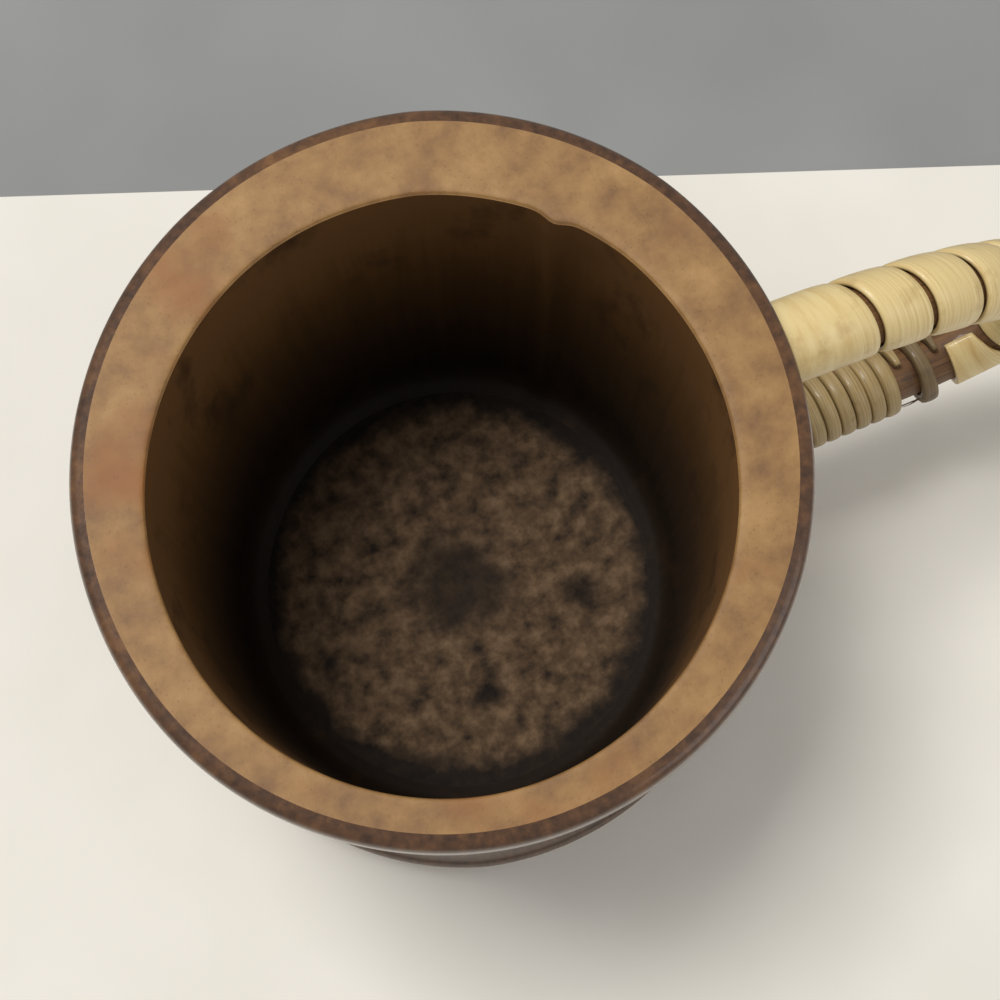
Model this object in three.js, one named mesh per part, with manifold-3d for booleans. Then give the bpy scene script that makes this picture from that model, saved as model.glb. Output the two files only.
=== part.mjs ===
// A bamboo mug: one thick length of culm whose own node wall is the floor, and a bent cane handle
// wound with strips of cane. Millimetres, +Z up, the handle towards +X. The mug is built about its
// own axis with its foot at z = 0, and moved at the end to the bottom centre of its box.
import * as THREE from 'three';
import { mergeVertices } from 'three/addons/utils/BufferGeometryUtils.js';
import Module from 'manifold-3d';

// Culm
const HEIGHT = 84;
const RIM_RADIUS = 45;
const RIM_EDGE = 2.3;
const WAIST_RADIUS = 44.2;
const NODE_RADIUS = 46.6;
const NODE_HEIGHT = 13;
const FOOT_RADIUS = 45.2;
const FOOT_EDGE = 1.5;
const BORE_RADIUS = 35.2;
const BORE_OVAL = 1.05;
const BORE_OFFSET = 3;
const FLOOR_TOP = 16;
const UNDER_DEPTH = 9.5;
const UNDER_RADIUS = 34;
const OVAL = 1.03;
const OVAL_DIRECTION = THREE.MathUtils.degToRad(68);
const BORE_DIRECTION = OVAL_DIRECTION + Math.PI;
const AROUND = 48;

// Handle core, a cane bent in the XZ plane with a tenon at each end
const CORE_RADIUS = 4.4;
const UPPER_ROOT = 73;
const LOWER_ROOT = 25.5;
const TENON_END = 39.5;
const STUB_END = 48;
const REACH = 96.5;
const BEND_HEIGHT = 41;
const CORE_SIDES = 12;
const CORE_STEPS = 44;

// Mortises, blind holes that take the tenons
const FIT_GAP = 0.35;
const MORTISE_FLOOR = 39;

// Windings, flat strips wound over the core; distances run along the core from its upper end
const LOOP_STEPS = 16;
const WIDE = { start: 9.3, pitch: 8.6, width: 7.6, thick: 0.9, loops: 9 };
const TIE = { start: 93, pitch: 3.6, width: 2.7, thick: 1.6, loops: 1.5 };
const NARROW = { start: 100.5, pitch: 2.6, width: 2.0, thick: 1.5, loops: 11 };
const LEAST_GAP = 0.4;

const wasm = await Module();
wasm.setup();

// A closed geometry's triangles with shared vertices and no collapsed ones
function welded(geometry) {
  const bare = geometry.clone();
  bare.deleteAttribute('normal');
  bare.deleteAttribute('uv');
  const merged = mergeVertices(bare, 1e-4);
  const corners = merged.index.array;
  const kept = [];
  for (let i = 0; i < corners.length; i += 3) {
    const [a, b, c] = corners.slice(i, i + 3);
    if (a !== b && b !== c && c !== a) kept.push(a, b, c);
  }
  merged.setIndex(kept);
  return merged;
}

function toSolid(geometry) {
  const mesh = welded(geometry);
  return new wasm.Manifold(new wasm.Mesh({
    numProp: 3,
    vertProperties: new Float32Array(mesh.attributes.position.array),
    triVerts: new Uint32Array(mesh.index.array),
  }));
}

function toGeometry(solid) {
  const mesh = solid.getMesh();
  const geometry = new THREE.BufferGeometry();
  geometry.setAttribute('position', new THREE.BufferAttribute(mesh.vertProperties, 3));
  geometry.setIndex(new THREE.BufferAttribute(mesh.triVerts, 1));
  geometry.computeVertexNormals();
  return geometry;
}

// A turned shape about the mug's axis, drawn out to a slight oval
function turned(profile, oval) {
  const points = profile.map(([radius, height]) => new THREE.Vector2(radius, height));
  const geometry = new THREE.LatheGeometry(points, AROUND);
  geometry.rotateX(Math.PI / 2);
  geometry.rotateZ(-OVAL_DIRECTION);
  geometry.scale(oval, 1, 1);
  geometry.rotateZ(OVAL_DIRECTION);
  return geometry;
}

function culmOutside() {
  return turned([
    [0, 0],
    [FOOT_RADIUS - FOOT_EDGE, 0],
    [FOOT_RADIUS, FOOT_EDGE],
    [FOOT_RADIUS, NODE_HEIGHT - 4],
    [NODE_RADIUS - 0.5, NODE_HEIGHT - 1.5],
    [NODE_RADIUS, NODE_HEIGHT],
    [NODE_RADIUS - 0.9, NODE_HEIGHT + 1.5],
    [WAIST_RADIUS, NODE_HEIGHT + 4.5],
    [WAIST_RADIUS, HEIGHT / 2],
    [RIM_RADIUS, HEIGHT - RIM_EDGE],
    [RIM_RADIUS - RIM_EDGE * 0.3, HEIGHT - RIM_EDGE * 0.3],
    [RIM_RADIUS - RIM_EDGE, HEIGHT],
    [0, HEIGHT],
  ], OVAL);
}

// The inside narrows in a cove where the wall meets the dished node wall
function bore() {
  const geometry = turned([
    [0, FLOOR_TOP - 0.5],
    [24, FLOOR_TOP],
    [31, FLOOR_TOP + 0.6],
    [34, FLOOR_TOP + 2.8],
    [BORE_RADIUS - 0.6, FLOOR_TOP + 8],
    [BORE_RADIUS, HEIGHT - 6],
    [BORE_RADIUS + 0.4, HEIGHT + 1],
    [0, HEIGHT + 1],
  ], BORE_OVAL);
  const aside = BORE_OFFSET * Math.cos(BORE_DIRECTION);
  const along = BORE_OFFSET * Math.sin(BORE_DIRECTION);
  return geometry.translate(aside, along, 0);
}

// Below the node wall the culm is hollow again, so the mug stands on a ring
function underside() {
  return turned([
    [0, -1],
    [UNDER_RADIUS + 0.5, -1],
    [UNDER_RADIUS, UNDER_DEPTH - 3],
    [UNDER_RADIUS - 4, UNDER_DEPTH],
    [0, UNDER_DEPTH + 0.4],
  ], OVAL);
}

function mortise(height) {
  const length = RIM_RADIUS + 10 - MORTISE_FLOOR;
  const hole = new THREE.CylinderGeometry(CORE_RADIUS + FIT_GAP, CORE_RADIUS + FIT_GAP, length, 20);
  hole.rotateZ(Math.PI / 2);
  return hole.translate(MORTISE_FLOOR + length / 2, 0, height);
}

function culmBody() {
  let culm = toSolid(culmOutside()).subtract(toSolid(bore())).subtract(toSolid(underside()));
  for (const height of [UPPER_ROOT, LOWER_ROOT]) culm = culm.subtract(toSolid(mortise(height)));
  return toGeometry(culm);
}

// The handle leaves the wall straight, slopes out, turns under and comes back level
const route = new THREE.CatmullRomCurve3([
  [TENON_END, UPPER_ROOT],
  [STUB_END, UPPER_ROOT],
  [60, 70.5],
  [73, 66],
  [86, 57.5],
  [94.5, 47.5],
  [REACH, BEND_HEIGHT - 3],
  [92.5, 30],
  [84, LOWER_ROOT + 0.8],
  [68, LOWER_ROOT + 0.4],
  [STUB_END, LOWER_ROOT],
  [TENON_END, LOWER_ROOT],
].map(([x, z]) => new THREE.Vector3(x, 0, z)), false, 'centripetal');
route.arcLengthDivisions = 800;
const routeLength = route.getLength();

// A point at a distance along the core, at an angle round it and at a distance from its middle
function onCore(along, angle, out) {
  const share = THREE.MathUtils.clamp(along / routeLength, 0, 1);
  const middle = route.getPointAt(share);
  const ahead = route.getTangentAt(share);
  const across = new THREE.Vector3(ahead.z, 0, -ahead.x);
  middle.addScaledVector(across, Math.cos(angle) * out);
  middle.y += Math.sin(angle) * out;
  return middle;
}

// A closed skin over rings of points, with both ends capped and its faces turned outwards
function skin(rings) {
  const sides = rings[0].length;
  const corners = rings.flat();
  const faces = [];
  for (let ring = 0; ring < rings.length - 1; ring++) {
    for (let side = 0; side < sides; side++) {
      const next = (side + 1) % sides;
      const [a, b] = [ring * sides + side, ring * sides + next];
      faces.push([a, b, b + sides], [a, b + sides, a + sides]);
    }
  }
  const last = corners.length - sides;
  for (let side = 1; side < sides - 1; side++) {
    faces.push([0, side + 1, side], [last, last + side, last + side + 1]);
  }
  let volume = 0;
  for (const [a, b, c] of faces) {
    volume += corners[a].dot(new THREE.Vector3().crossVectors(corners[b], corners[c]));
  }
  if (volume < 0) faces.forEach((face) => face.reverse());
  const geometry = new THREE.BufferGeometry().setFromPoints(corners);
  geometry.setIndex(faces.flat());
  geometry.computeVertexNormals();
  return geometry;
}

function handleCore() {
  const rings = [];
  for (let step = 0; step <= CORE_STEPS; step++) {
    const along = (routeLength * step) / CORE_STEPS;
    const ring = [];
    for (let side = 0; side < CORE_SIDES; side++) {
      ring.push(onCore(along, (side / CORE_SIDES) * 2 * Math.PI, CORE_RADIUS));
    }
    rings.push(ring);
  }
  return skin(rings);
}

// One unbroken flat strip that winds along the core, creased along its middle to follow the bend
function winding({ start, pitch, width, thick, loops }) {
  const inside = CORE_RADIUS + FIT_GAP;
  const section = [
    [-0.5, 0],
    [0, 0],
    [0.5, 0],
    [0.43, 1],
    [0, 1],
    [-0.43, 1],
  ];
  const steps = Math.round(LOOP_STEPS * loops);
  const rings = [];
  for (let step = 0; step <= steps; step++) {
    const turns = step / LOOP_STEPS;
    const along = start + pitch * turns;
    rings.push(section.map(([side, up]) => (
      onCore(along + side * width, turns * 2 * Math.PI, inside + up * thick)
    )));
  }
  return rings;
}

// The least distance from a strip's corners to those of its next loop
function gapToNextLoop(rings) {
  let least = Infinity;
  for (let step = 0; step + LOOP_STEPS < rings.length; step++) {
    for (const near of rings[step]) {
      for (const far of rings[step + LOOP_STEPS]) least = Math.min(least, near.distanceTo(far));
    }
  }
  return least;
}

function strip(name, sizes) {
  const rings = winding(sizes);
  const gap = gapToNextLoop(rings);
  console.log(`${name}: least gap to itself ${gap.toFixed(2)} mm, wanted over ${LEAST_GAP}`);
  return skin(rings);
}

function piece(name, geometry, color, roughness) {
  const material = new THREE.MeshStandardMaterial({ color, roughness, metalness: 0 });
  const mesh = new THREE.Mesh(geometry, material);
  mesh.name = name;
  return mesh;
}

const mug = new THREE.Group();
mug.add(
  piece('culm_body', culmBody(), '#8a6238', 0.45),
  piece('handle_core', handleCore(), '#6e4a28', 0.6),
  piece('wide_cane_wrap', strip('wide_cane_wrap', WIDE), '#e6cc90', 0.4),
  piece('wrap_tie', strip('wrap_tie', TIE), '#8a7a58', 0.6),
  piece('narrow_cane_binding', strip('narrow_cane_binding', NARROW), '#c9ad74', 0.5),
);
console.log(`core length ${routeLength.toFixed(1)} mm`);

const box = new THREE.Box3().setFromObject(mug);
const middle = box.getCenter(new THREE.Vector3());
mug.position.set(-middle.x, -middle.y, -box.min.z);
console.log('moved by', mug.position.toArray().map((v) => v.toFixed(3)).join(' '));

const object = new THREE.Group();
object.add(mug);
object.updateMatrixWorld(true);

export default object;
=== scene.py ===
# A bamboo mug seen from above: a thick culm with its node wall as the floor, and a cane-wound handle.
import math
import random

import bpy
from mathutils import Matrix, Vector, noise


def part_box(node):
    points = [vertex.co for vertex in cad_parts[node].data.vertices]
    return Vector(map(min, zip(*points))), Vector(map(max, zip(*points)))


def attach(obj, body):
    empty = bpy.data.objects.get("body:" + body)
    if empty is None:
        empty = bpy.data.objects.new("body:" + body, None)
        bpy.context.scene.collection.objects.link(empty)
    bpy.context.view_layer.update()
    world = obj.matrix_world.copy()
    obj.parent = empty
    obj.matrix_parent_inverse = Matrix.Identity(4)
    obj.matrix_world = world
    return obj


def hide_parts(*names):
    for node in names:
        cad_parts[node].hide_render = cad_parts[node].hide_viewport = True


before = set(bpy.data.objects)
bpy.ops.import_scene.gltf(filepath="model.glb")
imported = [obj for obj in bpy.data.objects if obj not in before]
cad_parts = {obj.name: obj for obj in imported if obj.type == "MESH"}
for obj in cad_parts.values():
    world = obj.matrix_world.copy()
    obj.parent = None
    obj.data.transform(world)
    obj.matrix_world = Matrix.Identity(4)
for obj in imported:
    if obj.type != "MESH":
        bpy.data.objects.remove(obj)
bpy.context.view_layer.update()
scene = bpy.context.scene
scene.view_settings.view_transform = "Standard"
MM = 0.001

# The mug's own axis in the row frame: the culm is as wide to either side of it
culm_low, culm_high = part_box("culm_body")
AXIS = Vector(((culm_low.x + culm_high.x) / 2, (culm_low.y + culm_high.y) / 2, 0))

# Culm, in millimetres, its height 0.01 mm below the solid's so that rounding keeps it inside the box
HEIGHT = 83.99
RIM_RADIUS = 45
RIM_EDGE = 2.3
WAIST_RADIUS = 44.2
NODE_RADIUS = 46.5
NODE_HEIGHT = 13
FOOT_RADIUS = 45.2
BORE_RADIUS = 35.2
BORE_OFFSET = 3.0
BORE_OVAL = 1.05
FLOOR_TOP = 15.6
UNDER_DEPTH = 9.5
UNDER_RADIUS = 34
OVAL = 1.03
OVAL_DIRECTION = math.radians(68)
AROUND = 320

# How uneven the culm has grown, in millimetres, how fast that changes round it and up it, and the
# height over which the outside grows out of its even foot
UNEVEN_INSIDE = 0.4
UNEVEN_OUTSIDE = 0.35
LUMPS_AROUND = 1.4
LUMPS_UP = 0.03
EVEN_FOOT = 4

# A low ridge that runs down the inner wall, its width as an angle
RIDGE_DIRECTION = math.radians(44)
RIDGE_WIDTH = 0.05
RIDGE_DEPTH = 0.8

# The bore isn't centred in the culm: it lies towards the thin side
LONG_WAY = Vector((math.cos(OVAL_DIRECTION), math.sin(OVAL_DIRECTION), 0))
BORE_ASIDE = LONG_WAY * -BORE_OFFSET
BORE_AXIS = AXIS + BORE_ASIDE * MM

# Handle, in millimetres, its reach 0.01 mm short of the solid's for the same reason
CORE_RADIUS = 4.4
FIT_GAP = 0.3
UPPER_ROOT = 73
LOWER_ROOT = 25.5
TENON_END = 39.5
STUB_END = 48
REACH = 96.49
BEND_HEIGHT = 41
CORE_SIDES = 32
CORE_STEPS = 220
CORE_HIDDEN = 4.0
CORE_UNEVEN = 0.12
CORE_LUMPS = 0.12

# Strips wound over the core; distances run along it from its upper end, in millimetres
LOOP_STEPS = 56
WIDE = {"start": 9.3, "pitch": 8.6, "width": 7.6, "thick": 0.9, "loops": 9}
TIE = {"start": 93, "pitch": 3.6, "width": 2.7, "thick": 1.6, "loops": 1.5}
NARROW = {"start": 100.5, "pitch": 2.6, "width": 2.45, "thick": 1.5, "loops": 11}
WALL_AT = 5.9
FAR_WALL_AT = 130.4

# A strip's end starts at this share of its width and widens by this much a turn
END_WIDTH = 0.45
WIDENING = 2.2

# The first and last turns fill up to the wall for this much of a turn, and their edge there is
# rounded over about this many millimetres
LAP = 0.88
LAP_EDGE = 0.6

# Half of a strip's outline, across it and up from the core, as shares of its width and thickness
STRIP_EDGE = ((0.5, 0.1), (0.5, 0.5), (0.47, 0.75), (0.4, 0.9), (0.25, 0.97), (0.08, 1.0))

# Camera: where it stands from the mug's axis with the handle towards +X, its tilt from straight
# down, how far the photograph's sideways direction lies from +X, and its focal length
CAMERA_ASIDE = -11.0
CAMERA_BACK = -45.6
CAMERA_UP = 256.6
CAMERA_TILT = math.radians(13.4)
CAMERA_ROLL = math.radians(0.8)
CAMERA_TURN = math.radians(-22)
CAMERA_PLACE = AXIS + Vector((CAMERA_ASIDE, CAMERA_BACK, CAMERA_UP)) * MM
LENS = 54
SENSOR = 36
PICTURE = 1000

# Where the picture's left and right borders cut the table's far edge, in pixels
TABLE_EDGE = ((0, 197), (1000, 165))

# Dark marks on the floor, three stains and last a spot of painted shade in a small hollow at the foot of
# the wall: the pixel at the middle of each, and its radius in millimetres
STAINS_AND_HOLLOW_SHADE = (((582, 592), 2.6), ((488, 692), 2.4), ((330, 665), 1.6), ((568, 420), 3.2))

# A ragged edge moves by up to this much, and a dark mark fades between these two distances past its
# radius, all in millimetres
RAGGED = 8
MARK_FULL = 2
MARK_GONE = 5.5

# The distances from the bore's axis between which the floor's black edge of painted shade and its dark
# middle fade in, and the height from which the painted shade on the wall grows paler towards the rim, in
# millimetres
PAINTED_SHADE_EDGE = (31.5, 34.5)
DARK_MIDDLE = (15, 8.5)
DARKEST_PAINTED_SHADE_UP_TO = 20

# A cane's fibres are this many times as long as they are wide
FIBRE_LENGTH = 40

# Kinds of shader node
COORDINATES = "ShaderNodeTexCoord"
LENGTHWISE = "ShaderNodeUVMap"
MAPPING = "ShaderNodeMapping"
SPLIT = "ShaderNodeSeparateXYZ"
NOISE = "ShaderNodeTexNoise"
CELLS = "ShaderNodeTexVoronoi"
RAMP = "ShaderNodeValToRGB"
SHARE = "ShaderNodeMapRange"
MATH = "ShaderNodeMath"
VECTOR_MATH = "ShaderNodeVectorMath"
MIX = "ShaderNodeMix"
BUMP = "ShaderNodeBump"

# Sockets that go by number: the values of a sum, and the colours of a mix of colours
FIRST, SECOND, THIRD = 0, 1, 2
FACTOR, BELOW, ABOVE, MIXED = 0, 6, 7, 2
COLOURS = {"data_type": "RGBA"}


def linear(hex_colour):
    """An sRGB hex colour as linear red, green, blue and alpha."""
    parts = [int(hex_colour[i : i + 2], 16) / 255 for i in (1, 3, 5)]
    return [c / 12.92 if c <= 0.04045 else ((c + 0.055) / 1.055) ** 2.4 for c in parts] + [1]


def per(size_mm):
    """The scale of a pattern whose features are about this size."""
    return 1 / (size_mm * MM)


def set_stops(elements, stops):
    """A ramp's colours, each at its share of the way."""
    while len(elements) < len(stops):
        elements.new(0.5)
    for element, (share, colour) in zip(elements, stops.items()):
        element.position = share
        element.color = linear(colour)


def wire(tree, node, links):
    """Links into a node, by socket, each from an output or from another node's first output."""
    for socket, source in links.items():
        output = source.outputs[0] if isinstance(source, bpy.types.Node) else source
        tree.links.new(output, node.inputs[socket])


def add(tree, kind, settings=None, links=None):
    """A node with its settings, by socket, property or as a ramp's stops, and its links, by socket."""
    node = tree.nodes.new(kind)
    for name, value in (settings or {}).items():
        if name == "stops":
            set_stops(node.color_ramp.elements, value)
        elif isinstance(name, int) or name in node.inputs:
            node.inputs[name].default_value = value
        else:
            setattr(node, name, value)
    wire(tree, node, links or {})
    return node


def new_material(name, settings):
    """A material with its shader's settings, its node tree and the shader."""
    material = bpy.data.materials.new(name)
    material.use_nodes = True
    tree = material.node_tree
    shader = tree.nodes["Principled BSDF"]
    for socket, value in settings.items():
        shader.inputs[socket].default_value = value
    return material, tree, shader


def sanded_bamboo(name):
    """Bamboo end grain, sanded flat: matt tan, dotted with fibre bundles about 0.7 mm apart."""
    material, tree, shader = new_material(name, {"Roughness": 0.62})
    place = {"Vector": add(tree, COORDINATES).outputs["Object"]}
    clouds = add(tree, NOISE, {"Scale": per(6), "Detail": 9, "Roughness": 0.6}, place)
    patches = add(tree, NOISE, {"Scale": per(22), "Detail": 3, "Roughness": 0.6}, place)
    flecks = add(tree, NOISE, {"Scale": per(5), "Detail": 6, "Roughness": 0.6}, place)
    shades = add(tree, NOISE, {"Scale": per(3), "Detail": 6, "Roughness": 0.6}, place)
    sanding = add(tree, NOISE, {"Scale": per(0.5), "Detail": 6, "Roughness": 0.6}, place)
    bundles = add(tree, CELLS, {"Scale": per(0.7)}, place)
    tan = add(tree, RAMP, {"stops": {0.32: "#7A5630", 0.52: "#97703F", 0.72: "#AB8350"}}, {"Fac": clouds})
    rust = add(tree, RAMP, {"stops": {0.0: "#7E4F24", 1.0: "#9A6430"}}, {"Fac": flecks})
    dark = add(tree, RAMP, {"stops": {0.35: "#6E4A26", 0.65: "#8F6A3C"}}, {"Fac": shades})
    rusty = add(tree, SHARE, {"From Min": 0.56, "From Max": 0.72}, {"Value": patches})
    stained = add(tree, MIX, COLOURS, {FACTOR: rusty, BELOW: tan, ABOVE: rust}).outputs[MIXED]
    dots = add(tree, SHARE, {"From Min": 0.28, "From Max": 0.12}, {"Value": bundles})
    faint = add(tree, MATH, {"operation": "MULTIPLY", SECOND: 0.45}, {FIRST: dots})
    dotted = add(tree, MIX, COLOURS, {FACTOR: faint, BELOW: stained, ABOVE: dark}).outputs[MIXED]
    relief = add(tree, BUMP, {"Distance": 0.08 * MM, "Strength": 0.6}, {"Height": sanding})
    wire(tree, shader, {"Base Color": dotted, "Normal": relief})
    return material


def lacquered_skin():
    """Lacquered culm skin: dark brown and glossy, with fine fibres that run up the culm."""
    settings = {"Roughness": 0.28, "Coat Weight": 0.5, "Coat Roughness": 0.12}
    material, tree, shader = new_material("lacquered_bamboo_skin", settings)
    place = {"Vector": add(tree, COORDINATES).outputs["Object"]}
    drawn_far = {"Vector": add(tree, MAPPING, {"Scale": (1, 1, 0.04)}, place)}
    drawn_out = {"Vector": add(tree, MAPPING, {"Scale": (1, 1, 0.5)}, place)}
    fibres = add(tree, NOISE, {"Scale": per(1.2), "Detail": 6, "Roughness": 0.6}, drawn_far)
    clouds = add(tree, NOISE, {"Scale": per(18), "Detail": 3, "Roughness": 0.6}, drawn_out)
    fine = add(tree, RAMP, {"stops": {0.3: "#3A2413", 0.55: "#55371E", 0.8: "#6E4A2A"}}, {"Fac": fibres})
    worn = add(tree, RAMP, {"stops": {0.3: "#6A4524", 0.7: "#8B6034"}}, {"Fac": fibres})
    wear = add(tree, SHARE, {"From Min": 0.52, "From Max": 0.75}, {"Value": clouds})
    colour = add(tree, MIX, COLOURS, {FACTOR: wear, BELOW: fine, ABOVE: worn}).outputs[MIXED]
    relief = add(tree, BUMP, {"Distance": 0.12 * MM, "Strength": 0.35}, {"Height": fibres})
    wire(tree, shader, {"Base Color": colour, "Normal": relief})
    return material


def shaded_and_stained_bore():
    """Inner wall of the culm: tan brown below the rim, painted shade nearly black deeper down, and dark
    stain blots.
    """
    settings = {"Roughness": 0.6, "Specular IOR Level": 0.35}
    material, tree, shader = new_material("shaded_and_stained_bamboo_bore", settings)
    place = {"Vector": add(tree, COORDINATES).outputs["Object"]}
    drawn_far = {"Vector": add(tree, MAPPING, {"Scale": (1, 1, 0.06)}, place)}
    drawn_out = {"Vector": add(tree, MAPPING, {"Scale": (1, 1, 0.6)}, place)}
    fibres = add(tree, NOISE, {"Scale": per(1.6), "Detail": 6, "Roughness": 0.6}, drawn_far)
    blots = add(tree, NOISE, {"Scale": per(9), "Detail": 4, "Roughness": 0.6}, drawn_out)
    # Painted shade: the wall's colour darkens from the rim to nearly black near the floor
    height = add(tree, SPLIT, None, place).outputs["Z"]
    limits = {"From Min": DARKEST_PAINTED_SHADE_UP_TO * MM, "From Max": HEIGHT * MM}
    up = add(tree, SHARE, limits, {"Value": height})
    streaked = add(tree, MATH, {"operation": "MULTIPLY_ADD", SECOND: 0.35}, {FIRST: fibres, THIRD: up})
    stops = {0.2: "#1E1308", 0.45: "#3A2610", 0.8: "#5E401C", 1.0: "#74502A"}
    wall = add(tree, RAMP, {"stops": stops}, {"Fac": streaked})
    dark = add(tree, RAMP, {"stops": {0.4: "#22160A", 0.7: "#3A2611"}}, {"Fac": blots})
    soiled = add(tree, SHARE, {"From Min": 0.55, "From Max": 0.78}, {"Value": blots})
    colour = add(tree, MIX, COLOURS, {FACTOR: soiled, BELOW: wall, ABOVE: dark}).outputs[MIXED]
    relief = add(tree, BUMP, {"Distance": 0.15 * MM, "Strength": 0.5}, {"Height": fibres})
    wire(tree, shader, {"Base Color": colour, "Normal": relief})
    return material


def ragged_distance(tree, middle, size_mm):
    """How far each place is from an upright line through a middle, made uneven by noise."""
    place = {"Vector": add(tree, COORDINATES).outputs["Object"]}
    flat = add(tree, MAPPING, {"Scale": (1, 1, 0), "Location": (-middle.x, -middle.y, 0)}, place)
    away = add(tree, VECTOR_MATH, {"operation": "LENGTH"}, {FIRST: flat}).outputs["Value"]
    uneven = add(tree, NOISE, {"Scale": per(size_mm), "Detail": 6, "Roughness": 0.6}, place)
    settings = {"operation": "MULTIPLY_ADD", SECOND: RAGGED * MM}
    return add(tree, MATH, settings, {FIRST: uneven, THIRD: away})


def node_wall():
    """The node wall that makes the floor: brown woody skin, mottled, with a black edge of painted shade
    where it meets the wall, stains, and a spot of painted shade in a small hollow.
    """
    settings = {"Roughness": 0.75, "Specular IOR Level": 0.2}
    material, tree, shader = new_material("bamboo_node_wall", settings)
    place = {"Vector": add(tree, COORDINATES).outputs["Object"]}
    clouds = add(tree, NOISE, {"Scale": per(3.2), "Detail": 9, "Roughness": 0.6}, place)
    specks = add(tree, NOISE, {"Scale": per(2), "Detail": 6, "Roughness": 0.6}, place)
    pits = add(tree, NOISE, {"Scale": per(1.2), "Detail": 6, "Roughness": 0.6}, place)
    woody = add(tree, RAMP, {"stops": {0.3: "#241A11", 0.5: "#5A4530", 0.7: "#7E644A"}}, {"Fac": clouds})
    black = add(tree, RAMP, {"stops": {0.3: "#150E08", 0.7: "#2A1E13"}}, {"Fac": specks})
    reach = {"Value": ragged_distance(tree, BORE_AXIS, 6)}
    # Painted shade: a black ring where the floor meets the wall
    edge = add(tree, SHARE, {"From Min": PAINTED_SHADE_EDGE[0] * MM, "From Max": PAINTED_SHADE_EDGE[1] * MM}, reach)
    middle = add(tree, SHARE, {"From Min": DARK_MIDDLE[0] * MM, "From Max": DARK_MIDDLE[1] * MM}, reach)
    faded = add(tree, MATH, {"operation": "MULTIPLY", SECOND: 0.85}, {FIRST: middle})
    colour = add(tree, MIX, COLOURS, {FACTOR: edge, BELOW: woody, ABOVE: black}).outputs[MIXED]
    colour = add(tree, MIX, COLOURS, {FACTOR: faded, BELOW: colour, ABOVE: black}).outputs[MIXED]
    # Three stains, then painted shade for a small hollow at the foot of the wall
    for pixel, radius in STAINS_AND_HOLLOW_SHADE:
        away = {"Value": ragged_distance(tree, on_level(pixel, FLOOR_TOP * MM), 4)}
        limits = {"From Min": (radius + MARK_GONE) * MM, "From Max": (radius + MARK_FULL) * MM}
        dark_mark = add(tree, SHARE, limits, away)
        colour = add(tree, MIX, COLOURS, {FACTOR: dark_mark, BELOW: colour, ABOVE: black}).outputs[MIXED]
    relief = add(tree, BUMP, {"Distance": 0.3 * MM, "Strength": 0.6}, {"Height": pits})
    wire(tree, shader, {"Base Color": colour, "Normal": relief})
    return material


def split_cane(name, tones, grimes, fibre_mm, roughness):
    """Split cane with its skin outside: its fibres run along the strip, and patches of it are soiled."""
    material, tree, shader = new_material(name, {"Roughness": roughness, "Coat Weight": 0.15})
    place = {"Vector": add(tree, COORDINATES).outputs["Object"]}
    stretch = {"Scale": (per(fibre_mm), per(fibre_mm * FIBRE_LENGTH), 1)}
    along = {"Vector": add(tree, MAPPING, stretch, {"Vector": add(tree, LENGTHWISE)})}
    fibres = add(tree, NOISE, {"Scale": 1, "Detail": 5, "Roughness": 0.65}, along)
    patches = add(tree, NOISE, {"Scale": per(5), "Detail": 6, "Roughness": 0.6}, place)
    tone = add(tree, RAMP, {"stops": tones}, {"Fac": fibres})
    grime = add(tree, RAMP, {"stops": grimes}, {"Fac": fibres})
    soiled = add(tree, SHARE, {"From Min": 0.55, "From Max": 0.8}, {"Value": patches})
    colour = add(tree, MIX, COLOURS, {FACTOR: soiled, BELOW: tone, ABOVE: grime}).outputs[MIXED]
    relief = add(tree, BUMP, {"Distance": 0.1 * MM, "Strength": 0.5}, {"Height": fibres})
    wire(tree, shader, {"Base Color": colour, "Normal": relief})
    return material


def plain_stage(name, low, high, size_mm):
    """A matt surface whose shade wanders a little between two colours."""
    material, tree, shader = new_material(name, {"Roughness": 0.85})
    place = {"Vector": add(tree, COORDINATES).outputs["Object"]}
    shade = add(tree, NOISE, {"Scale": per(size_mm), "Detail": 2, "Roughness": 0.6}, place)
    colour = add(tree, RAMP, {"stops": {0.3: low, 0.7: high}}, {"Fac": shade})
    wire(tree, shader, {"Base Color": colour})
    return material


def make_object(name, vertices, faces, uvs=None):
    """A smooth mesh object, with a lengthwise mapping where its vertices have one."""
    mesh = bpy.data.meshes.new(name)
    mesh.from_pydata(vertices, [], faces)
    if uvs:
        layer = mesh.uv_layers.new(name="lengthwise")
        for loop in mesh.loops:
            layer.data[loop.index].uv = uvs[loop.vertex_index]
    mesh.validate()
    for polygon in mesh.polygons:
        polygon.use_smooth = True
    piece = bpy.data.objects.new(name, mesh)
    scene.collection.objects.link(piece)
    return piece


def keep_as(piece, node):
    """The piece stands in for a solid, which is hidden, and stays with the mug."""
    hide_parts(node)
    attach(piece, "root")


def eased(points, rounds=3):
    """The outline with its corners cut again and again, so that they end up round."""
    for _ in range(rounds):
        cut = [points[0]]
        for (r0, z0), (r1, z1) in zip(points, points[1:]):
            cut.append((0.75 * r0 + 0.25 * r1, 0.75 * z0 + 0.25 * z1))
            cut.append((0.25 * r0 + 0.75 * r1, 0.25 * z0 + 0.75 * z1))
        points = cut + [points[-1]]
    return points


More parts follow.
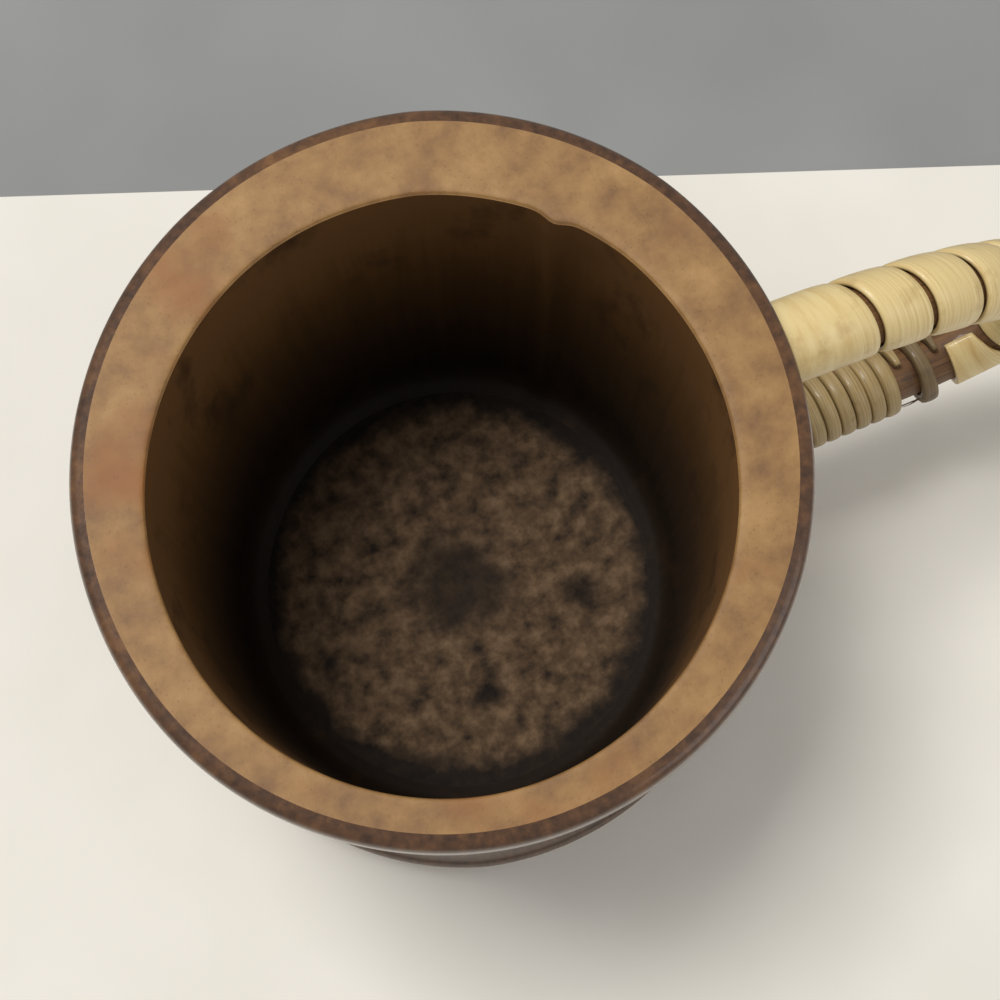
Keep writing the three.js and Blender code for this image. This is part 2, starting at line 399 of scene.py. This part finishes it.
def culm_zones():
    """The culm's outline from the middle of the floor to the middle of the underside, by finish."""
    floor = [(0.2, FLOOR_TOP), (8, FLOOR_TOP + 0.5), (24, FLOOR_TOP), (31, FLOOR_TOP + 1)]
    wall = [floor[-1], (34, FLOOR_TOP + 3.2), (BORE_RADIUS, FLOOR_TOP + 9), (35.6, 50)]
    wall += [(BORE_RADIUS, 78), (BORE_RADIUS + 0.2, HEIGHT - 0.5)]
    rim = [wall[-1], (BORE_RADIUS + 0.5, HEIGHT), (38, HEIGHT), (41, HEIGHT)]
    rim += [(RIM_RADIUS - RIM_EDGE, HEIGHT)]
    skin = [rim[-1], (RIM_RADIUS - 0.5, HEIGHT - 0.4)]
    skin += [(RIM_RADIUS, HEIGHT - RIM_EDGE), (RIM_RADIUS - 0.2, HEIGHT - 8)]
    skin += [(WAIST_RADIUS, 60), (WAIST_RADIUS, 32), (WAIST_RADIUS, NODE_HEIGHT + 5)]
    skin += [(NODE_RADIUS - 1.4, NODE_HEIGHT + 2), (NODE_RADIUS + 0.1, NODE_HEIGHT + 0.6)]
    skin += [(NODE_RADIUS + 0.1, NODE_HEIGHT - 0.6), (NODE_RADIUS - 1.4, NODE_HEIGHT - 2)]
    skin += [(FOOT_RADIUS, NODE_HEIGHT - 5), (FOOT_RADIUS, 3), (FOOT_RADIUS, 1.6)]
    foot = [skin[-1], (FOOT_RADIUS - 0.2, 0.1), (FOOT_RADIUS - 1.6, 0), (40, 0)]
    foot += [(36, 0), (UNDER_RADIUS + 0.5, 0.3), (UNDER_RADIUS + 0.3, 1.5)]
    foot += [(UNDER_RADIUS, UNDER_DEPTH - 3), (UNDER_RADIUS - 4, UNDER_DEPTH), (0.2, UNDER_DEPTH + 0.3)]
    return [floor, wall, rim, skin, foot]


def on_culm(radius, height, angle, inside):
    """A point of the culm, which is inside (1), outside (0) or on the way across the rim."""
    share = min(1, radius / BORE_RADIUS)
    outwards = Vector((math.cos(angle), math.sin(angle), 0))
    lump = Vector((outwards.x * LUMPS_AROUND, outwards.y * LUMPS_AROUND, height * LUMPS_UP))
    grown = abs(noise.noise(lump))
    ridge = RIDGE_DEPTH * math.exp(-(((angle - RIDGE_DIRECTION) / RIDGE_WIDTH) ** 2))
    bore = outwards * (radius - (ridge + UNEVEN_INSIDE * grown) * share**4)
    bore += LONG_WAY * bore.dot(LONG_WAY) * (BORE_OVAL - 1) + BORE_ASIDE
    skin = outwards * (radius - UNEVEN_OUTSIDE * grown * min(1, height / EVEN_FOOT))
    skin += LONG_WAY * skin.dot(LONG_WAY) * (OVAL - 1)
    point = skin.lerp(bore, inside)
    point.z = height
    return point * MM + AXIS


def inside_share(radius, zone):
    """1 on the bore, 0 on the outside and the foot, and between them across the rim."""
    if zone <= 1:
        return 1
    if zone > 2:
        return 0
    return max(0, min(1, (RIM_RADIUS - RIM_EDGE - radius) / (RIM_RADIUS - RIM_EDGE - BORE_RADIUS)))


def make_culm():
    """The culm as one closed skin, with a finish for each stretch of its outline."""
    outline = []
    finishes = []
    for index, zone in enumerate(culm_zones()):
        for step, point in enumerate(eased(zone)):
            if outline and step == 0:
                continue
            outline.append((*point, inside_share(point[0], index)))
            finishes.append(index)
    vertices = []
    for radius, height, inside in outline:
        for step in range(AROUND):
            vertices.append(on_culm(radius, height, 2 * math.pi * step / AROUND, inside))
    faces = []
    zones = []
    for row in range(len(outline) - 1):
        for step in range(AROUND):
            after = (step + 1) % AROUND
            low = row * AROUND
            faces.append((low + step, low + AROUND + step, low + AROUND + after, low + after))
            zones.append(finishes[row + 1])
    last = (len(outline) - 1) * AROUND
    faces.append(tuple(range(AROUND)))
    faces.append(tuple(last + step for step in reversed(range(AROUND))))
    zones += [finishes[0], finishes[-1]]
    culm = make_object("bamboo_culm", vertices, faces)
    rim = sanded_bamboo("sanded_bamboo_end_grain")
    foot = sanded_bamboo("raw_bamboo_foot")
    for material in (node_wall(), shaded_and_stained_bore(), rim, lacquered_skin(), foot):
        culm.data.materials.append(material)
    for polygon, zone in zip(culm.data.polygons, zones):
        polygon.material_index = zone
    keep_as(culm, "culm_body")


def hermite(a, b, slope_a, slope_b, t):
    """The point a share t of the way along a smooth curve from a to b."""
    cubic = 2 * a - 2 * b + slope_a + slope_b
    square = -3 * a + 3 * b - 2 * slope_a - slope_b
    return a + slope_a * t + square * t * t + cubic * t**3


def smooth_route(points, steps):
    """A centripetal spline through the points."""
    ends = [2 * points[0] - points[1], *points, 2 * points[-1] - points[-2]]
    route = []
    for a, b, c, d in zip(ends, ends[1:], ends[2:], ends[3:]):
        t0 = math.sqrt((b - a).length)
        t1 = math.sqrt((c - b).length)
        t2 = math.sqrt((d - c).length)
        slope_b = ((b - a) / t0 - (c - a) / (t0 + t1) + (c - b) / t1) * t1
        slope_c = ((c - b) / t1 - (d - b) / (t1 + t2) + (d - c) / t2) * t1
        route += [hermite(b, c, slope_b, slope_c, step / steps) for step in range(steps)]
    return route + [points[-1]]


# The handle leaves the wall straight, slopes out, turns under and comes back level
HANDLE_POINTS = [
    (TENON_END, UPPER_ROOT),
    (STUB_END, UPPER_ROOT),
    (60, 70.5),
    (73, 66),
    (86, 57.5),
    (94.5, 47.5),
    (REACH, BEND_HEIGHT - 3),
    (92.5, 30),
    (84, LOWER_ROOT + 0.8),
    (68, LOWER_ROOT + 0.4),
    (STUB_END, LOWER_ROOT),
    (TENON_END, LOWER_ROOT),
]
ROUTE_STEPS = 60
ROUTE = smooth_route([Vector((x, 0, z)) for x, z in HANDLE_POINTS], ROUTE_STEPS)
LENGTHS = [0.0]
for before, after in zip(ROUTE, ROUTE[1:]):
    LENGTHS.append(LENGTHS[-1] + (after - before).length)


def on_core(along, angle, out):
    """A point at a distance along the core, at an angle round it and at a distance from its middle."""
    along = max(0.0, min(along, LENGTHS[-1] - 1e-6))
    low, high = 0, len(LENGTHS) - 1
    while high - low > 1:
        half = (low + high) // 2
        if LENGTHS[half] <= along:
            low = half
        else:
            high = half
    share = (along - LENGTHS[low]) / (LENGTHS[high] - LENGTHS[low])
    ahead = (ROUTE[high] - ROUTE[low]).normalized()
    across = Vector((ahead.z, 0, -ahead.x))
    point = ROUTE[low].lerp(ROUTE[high], share) + across * math.cos(angle) * out
    point.y += math.sin(angle) * out
    return point * MM + AXIS


def skin_over(name, rings, marks):
    """A closed skin over rings of points, with both ends capped and its faces turned outwards."""
    sides = len(rings[0])
    vertices = [point for ring in rings for point in ring]
    faces = []
    for row in range(len(rings) - 1):
        for side in range(sides):
            after = (side + 1) % sides
            low = row * sides
            faces.append((low + side, low + after, low + sides + after, low + sides + side))
    last = len(vertices) - sides
    faces.append(tuple(reversed(range(sides))))
    faces.append(tuple(last + side for side in range(sides)))
    piece = make_object(name, vertices, faces, marks)
    volume = 0
    for polygon in piece.data.polygons:
        corner = piece.data.vertices[polygon.vertices[0]].co
        volume += (corner - AXIS).dot(polygon.normal) * polygon.area
    if volume < 0:
        piece.data.flip_normals()
    return piece


def make_core():
    """The bent cane under the strips, a little uneven, from inside one mortise to inside the other."""
    length = LENGTHS[-1] - 2 * CORE_HIDDEN
    rings = []
    marks = []
    for step in range(CORE_STEPS + 1):
        along = CORE_HIDDEN + length * step / CORE_STEPS
        ring = []
        for side in range(CORE_SIDES):
            angle = 2 * math.pi * side / CORE_SIDES
            lump = Vector((math.cos(angle), math.sin(angle), along * CORE_LUMPS))
            grown = CORE_UNEVEN * abs(noise.noise(lump))
            ring.append(on_core(along, angle, CORE_RADIUS - grown))
            marks.append((angle * CORE_RADIUS * MM, along * MM))
        rings.append(ring)
    core = skin_over("bent_cane_core", rings, marks)
    tones = {0.3: "#4A2F18", 0.55: "#75512C", 0.8: "#8F6A3E"}
    grimes = {0.3: "#2E1C0E", 0.7: "#4A3018"}
    core.data.materials.append(split_cane("bare_cane", tones, grimes, 0.5, 0.6))
    keep_as(core, "handle_core")


def strip_section():
    """A strip's whole outline: flat below, rounded above."""
    right = [(0.42, 0.0), *STRIP_EDGE]
    left = [(-side, up) for side, up in reversed(right)]
    return right + left


def make_winding(name, sizes, uneven, seed, low_end=None, high_end=None):
    """One unbroken strip wound along the core, a little uneven as it is by hand. Its first and last
    turns lie over their own ends, so that they fill up to low_end and high_end, where these are given."""
    draws = random.Random(seed)
    section = strip_section()
    steps = round(LOOP_STEPS * sizes["loops"])
    drift = [draws.uniform(-uneven, uneven) for _ in range(int(sizes["loops"]) + 3)]
    rings = []
    marks = []
    for step in range(steps + 1):
        turns = step / LOOP_STEPS
        left = sizes["loops"] - turns
        loop = int(turns)
        shift = drift[loop] + (drift[loop + 1] - drift[loop]) * (turns - loop)
        along = sizes["start"] + sizes["pitch"] * turns + shift
        taper = min(1.0, END_WIDTH + turns * WIDENING, END_WIDTH + left * WIDENING)
        ring = []
        for side, up in section:
            across = side * sizes["width"] * taper
            place = along + across
            if low_end and side < 0 and turns < LAP:
                place = low_end + (0.5 + side) * LAP_EDGE
            if high_end and side > 0 and left < LAP:
                place = high_end - (0.5 - side) * LAP_EDGE
            out = CORE_RADIUS + FIT_GAP + up * sizes["thick"]
            ring.append(on_core(place, turns * 2 * math.pi, out))
            marks.append((across * MM, turns * 2 * math.pi * CORE_RADIUS * MM))
        rings.append(ring)
    return skin_over(name, rings, marks)


def make_windings():
    """The wide strip over the upper arm and the bend, the tie, and the thin strip over the lower arm."""
    wide = make_winding("wide_cane_strip", WIDE, 0.12, 3, WALL_AT, TIE["start"] - 2)
    tones = {0.25: "#CDA968", 0.5: "#E2C88C", 0.8: "#F0DDA4"}
    grimes = {0.3: "#A9864E", 0.7: "#CDAE72"}
    wide.data.materials.append(split_cane("pale_split_cane", tones, grimes, 0.35, 0.36))
    keep_as(wide, "wide_cane_wrap")

    tie = make_winding("tie_cane_strip", TIE, 0.1, 5)
    tones = {0.25: "#4E3B22", 0.55: "#7F6A48", 0.8: "#A08A60"}
    grimes = {0.3: "#2E1F10", 0.7: "#54401F"}
    tie.data.materials.append(split_cane("soiled_split_cane", tones, grimes, 0.3, 0.6))
    keep_as(tie, "wrap_tie")

    narrow = make_winding("narrow_cane_strip", NARROW, 0.05, 7, None, FAR_WALL_AT)
    tones = {0.25: "#7C6640", 0.5: "#A68D5E", 0.8: "#C4AB77"}
    grimes = {0.3: "#57401F", 0.7: "#7E6338"}
    narrow.data.materials.append(split_cane("thin_split_cane", tones, grimes, 0.25, 0.45))
    keep_as(narrow, "narrow_cane_binding")


# Torn ends of the tie: how many, the steps along each, its outline and how high it stands off
FIBRES = 9
FIBRE_STEPS = 12
FIBRE_SECTION = ((-1, 0), (1, 0), (1, 0.6), (0, 1), (-1, 0.6))
FIBRE_OUT = 0.55
FIBRE_THICK = 0.18


def make_frayed_fibres():
    """Torn ends of the tie: thin curved slivers that lie along the arm next to it."""
    draws = random.Random(11)
    for index in range(FIBRES):
        angle = math.radians(draws.uniform(120, 250))
        start = TIE["start"] + draws.uniform(-1, 4)
        length = draws.uniform(4, 8)
        width = draws.uniform(0.12, 0.3)
        lift = draws.uniform(0.0, 0.5)
        turn = draws.uniform(-0.5, 0.5)
        rings = []
        marks = []
        for step in range(FIBRE_STEPS + 1):
            share = step / FIBRE_STEPS
            half_width = width * (1 - 0.8 * share)
            thick = FIBRE_THICK * (1 - 0.6 * share)
            out = CORE_RADIUS + FIT_GAP + FIBRE_OUT + lift * math.sin(share * math.pi * 0.8)
            ring = []
            for side, up in FIBRE_SECTION:
                spin = angle + turn * share + side * half_width / CORE_RADIUS
                ring.append(on_core(start + length * share, spin, out + up * thick))
                marks.append((side * half_width * MM, length * share * MM))
            rings.append(ring)
        sliver = skin_over(f"frayed_tie_fibre_{index + 1}", rings, marks)
        sliver.data.materials.append(bpy.data.materials["soiled_split_cane"])
        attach(sliver, "root")


def camera_axes():
    """The camera's right, up and forward directions in the row frame."""
    turn = Matrix.Rotation(CAMERA_TURN, 3, "Z")
    right = turn @ Vector((1, 0, 0))
    up = turn @ Vector((0, math.cos(CAMERA_TILT), math.sin(CAMERA_TILT)))
    forward = turn @ Vector((0, math.sin(CAMERA_TILT), -math.cos(CAMERA_TILT)))
    roll = Matrix.Rotation(CAMERA_ROLL, 3, forward)
    return roll @ right, roll @ up, forward


def on_level(pixel, height=0):
    """Where the camera's ray through a pixel meets a level, which is the table's if none is given."""
    right, up, forward = camera_axes()
    focal = LENS / SENSOR * PICTURE
    ray = forward + right * (pixel[0] - PICTURE / 2) / focal - up * (pixel[1] - PICTURE / 2) / focal
    return CAMERA_PLACE + ray * ((height - CAMERA_PLACE.z) / ray.z)


def make_camera():
    """The camera at the photograph's place and angle."""
    right, up, forward = camera_axes()
    camera = bpy.data.objects.new("camera", bpy.data.cameras.new("camera"))
    camera.data.lens = LENS
    camera.data.sensor_width = SENSOR
    camera.data.clip_start = 0.01
    turned = Matrix((right, up, -forward)).transposed().to_4x4()
    camera.matrix_world = Matrix.Translation(CAMERA_PLACE) @ turned
    scene.collection.objects.link(camera)
    scene.camera = camera


# How far the table runs on past the picture, and how far below it the backdrop lies, in metres
TABLE_BESIDE = 1.5
TABLE_DEEP = 3
BACKDROP_DROP = 0.004


def make_stage():
    """A pale table with its far edge where the picture has it, and a grey backdrop beyond."""
    left, right = (on_level(pixel) for pixel in TABLE_EDGE)
    along = (right - left).normalized()
    toward = Vector((along.y, -along.x, 0)) * TABLE_DEEP
    back_left = left - along * TABLE_BESIDE
    back_right = right + along * TABLE_BESIDE
    corners = [back_left, back_right, back_right + toward, back_left + toward]
    table = make_object("table", corners, [(0, 3, 2, 1)])
    table.data.materials.append(plain_stage("cream_table_cloth", "#EFE9DC", "#F4EEE2", 30))
    drop = Vector((0, 0, -BACKDROP_DROP))
    beyond = [back_left + drop, back_right + drop, back_right - toward + drop, back_left - toward + drop]
    backdrop = make_object("backdrop", beyond, [(0, 1, 2, 3)])
    backdrop.data.materials.append(plain_stage("grey_paper_backdrop", "#8E8E8C", "#999996", 60))


# What the lamps face: a point on the mug's axis this high up, in metres
LAMP_AIM = 0.05


def make_lamp(name, place, power, size):
    """A square soft light that faces the mug, its place from the mug's foot and its size in metres."""
    lamp = bpy.data.objects.new(name, bpy.data.lights.new(name, "AREA"))
    lamp.data.energy = power
    lamp.data.size = size
    lamp.location = AXIS + Vector(place)
    aim = AXIS + Vector((0, 0, LAMP_AIM)) - lamp.location
    lamp.rotation_mode = "QUATERNION"
    lamp.rotation_quaternion = aim.to_track_quat("-Z", "Y")
    scene.collection.objects.link(lamp)


def make_lights():
    """A soft key from above and the upper left, a weak fill, and an even surround."""
    make_lamp("key", (-0.16, 0.24, 0.85), 5.0, 0.3)
    make_lamp("fill", (0.5, -0.5, 0.6), 1.0, 0.6)
    world = bpy.data.worlds.new("studio")
    world.use_nodes = True
    surround = world.node_tree.nodes["Background"]
    surround.inputs["Color"].default_value = linear("#F2F4F8")
    surround.inputs["Strength"].default_value = 0.4
    scene.world = world


make_camera()
make_stage()
make_lights()
make_culm()
make_core()
make_windings()
make_frayed_fibres()
